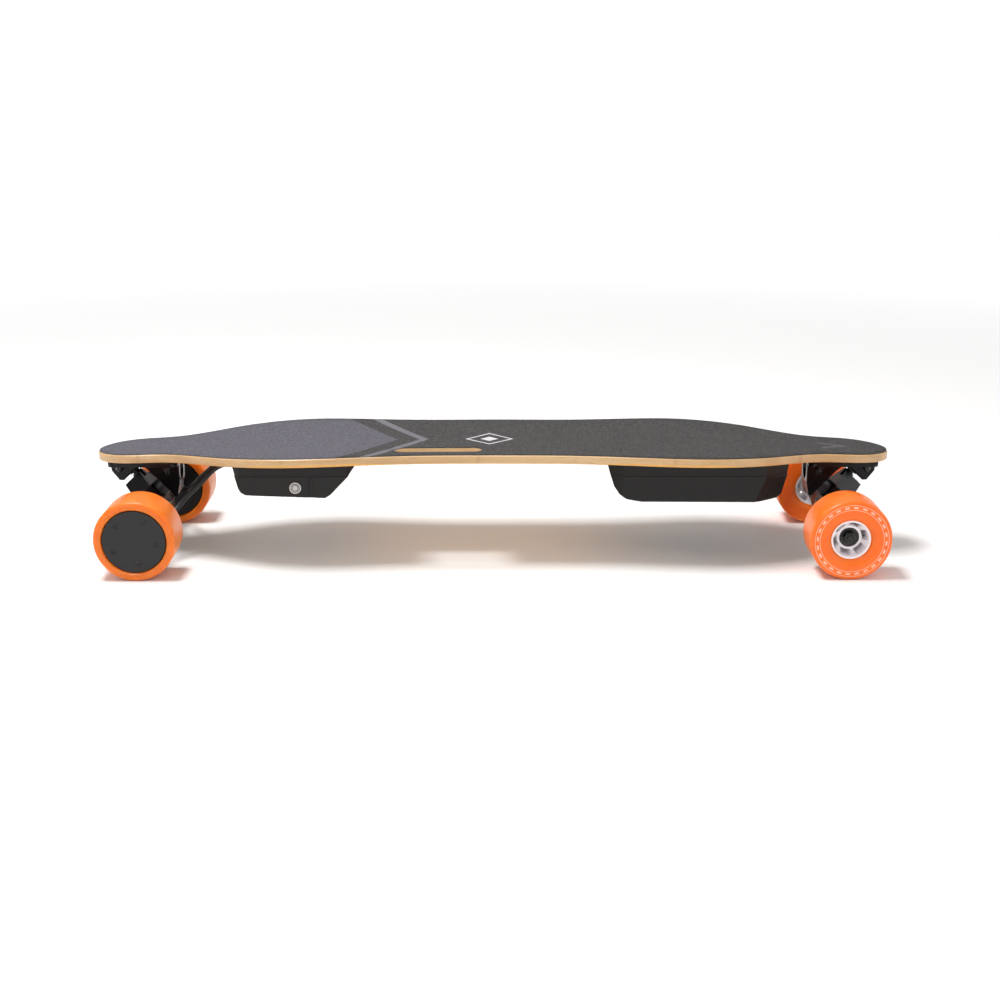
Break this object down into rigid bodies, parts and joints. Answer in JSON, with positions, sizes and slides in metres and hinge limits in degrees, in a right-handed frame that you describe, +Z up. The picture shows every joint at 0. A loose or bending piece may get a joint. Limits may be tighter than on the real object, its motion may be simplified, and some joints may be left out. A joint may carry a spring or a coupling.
{
  "type": "electric skateboard",
  "caption": "Cambered maple electric skateboard: two sprung trucks, rear hub motor wheels, a controller box and a battery box under the deck.",
  "frame": {"origin": "on the ground, midway between the two axles and on the board's mid plane", "axes": "+X towards the nose, +Y to the rider's left, +Z up from the ground"},
  "size_m": [0.916, 0.2754, 0.1312],
  "materials": {
    "maple": "clear coated maple with amber lower ply",
    "grit": "silicon carbide grip, matt",
    "cast_black": "satin black powder coat",
    "steel": "zinc plated",
    "black_steel": "black oxide",
    "bushing_urethane": "satin",
    "pad_rubber": "matt",
    "orange_urethane": "satin, slightly translucent",
    "core_plastic": "satin moulded",
    "can_metal": "black anodised",
    "cap_metal": "charcoal anodised, satin",
    "box_plastic": "fine moulded texture",
    "button_steel": "turned stainless",
    "copper": "enamelled copper wire",
    "lamination": "stacked electrical steel",
    "magnet": "nickel plated",
    "board_green": "soldermask",
    "cell_wrap": "shrink wrap",
    "cable_jacket": "satin",
    "seal_foam": "closed-cell foam"
  },
  "bodies": {
    "board": {"deck": "maple", "grip_tape": "grit", "front_riser_pad": "pad_rubber", "rear_riser_pad": "pad_rubber", "front_baseplate": "cast_black", "rear_baseplate": "cast_black", "front_pivot_cup": "bushing_urethane", "rear_pivot_cup": "bushing_urethane", "front_boardside_bushing": "bushing_urethane", "rear_boardside_bushing": "bushing_urethane", "front_roadside_bushing": "bushing_urethane", "rear_roadside_bushing": "bushing_urethane", "kingpins": "black_steel", "kingpin_nuts": "black_steel", "bushing_washers": "steel", "truck_bolts": "black_steel", "truck_nuts": "black_steel", "battery_shell": "box_plastic", "battery_cells": "cell_wrap", "battery_board": "board_green", "esc_shell": "box_plastic", "esc_board": "board_green", "box_gaskets": "seal_foam", "box_screws": "black_steel", "power_button_body": "button_steel", "charge_port": "black_steel", "battery_lead": "cable_jacket", "motor_cables": "cable_jacket"},
    "front_truck": {"front_hanger": "cast_black", "front_axle": "black_steel", "front_bearing_inner_rings": "black_steel", "front_bearing_spacers": "steel", "front_speed_washers": "black_steel", "front_axle_nuts": "black_steel"},
    "rear_truck": {"rear_hanger": "cast_black", "rear_axle": "steel", "rear_stators": "lamination", "rear_windings": "copper", "rear_bearing_inner_rings": "steel"},
    "power_button": {"power_button_cap": "button_steel"},
    "front_left_wheel": {"front_left_tyre": "orange_urethane", "front_left_core": "core_plastic", "front_left_bearings": "black_steel"},
    "rear_left_wheel": {"rear_left_sleeve": "orange_urethane", "rear_left_rotor_can": "can_metal", "rear_left_magnets": "magnet", "rear_left_outer_cap": "cap_metal", "rear_left_cap_screws": "black_steel", "rear_left_inner_cover": "can_metal", "rear_left_bearings": "black_steel"},
    "front_right_wheel": {"front_right_tyre": "orange_urethane", "front_right_core": "core_plastic", "front_right_bearings": "black_steel"},
    "rear_right_wheel": {"rear_right_sleeve": "orange_urethane", "rear_right_rotor_can": "can_metal", "rear_right_magnets": "magnet", "rear_right_outer_cap": "cap_metal", "rear_right_cap_screws": "black_steel", "rear_right_inner_cover": "can_metal", "rear_right_bearings": "black_steel"}
  },
  "joints": [
    {"name": "front_steer", "type": "hinge", "parent": "board", "child": "front_truck", "pos_m": [0.38349, 0, 0.05387], "axis": [0.682, 0, 0.7314], "range_deg": [-12, 12], "stiffness_Nm_per_rad": 60, "deforming": ["front_boardside_bushing", "front_roadside_bushing"]},
    {"name": "front_left_wheel_spin", "type": "hinge", "parent": "front_truck", "child": "front_left_wheel", "pos_m": [0.393, 0.109, 0.045], "axis": [0, 1, 0], "continuous": true},
    {"name": "front_right_wheel_spin", "type": "hinge", "parent": "front_truck", "child": "front_right_wheel", "pos_m": [0.393, -0.109, 0.045], "axis": [0, 1, 0], "continuous": true},
    {"name": "rear_steer", "type": "hinge", "parent": "board", "child": "rear_truck", "pos_m": [-0.38349, 0, 0.05387], "axis": [-0.682, 0, 0.7314], "range_deg": [-12, 12], "stiffness_Nm_per_rad": 60, "deforming": ["rear_boardside_bushing", "rear_roadside_bushing", "motor_cables"]},
    {"name": "rear_left_wheel_spin", "type": "hinge", "parent": "rear_truck", "child": "rear_left_wheel", "pos_m": [-0.393, 0.112, 0.045], "axis": [0, 1, 0], "continuous": true},
    {"name": "rear_right_wheel_spin", "type": "hinge", "parent": "rear_truck", "child": "rear_right_wheel", "pos_m": [-0.393, -0.112, 0.045], "axis": [0, 1, 0], "continuous": true},
    {"name": "power_button_press", "type": "slide", "parent": "board", "child": "power_button", "axis": [0, 1, 0], "range_m": [0, 0.0012], "stiffness_N_per_m": 1500}
  ]
}
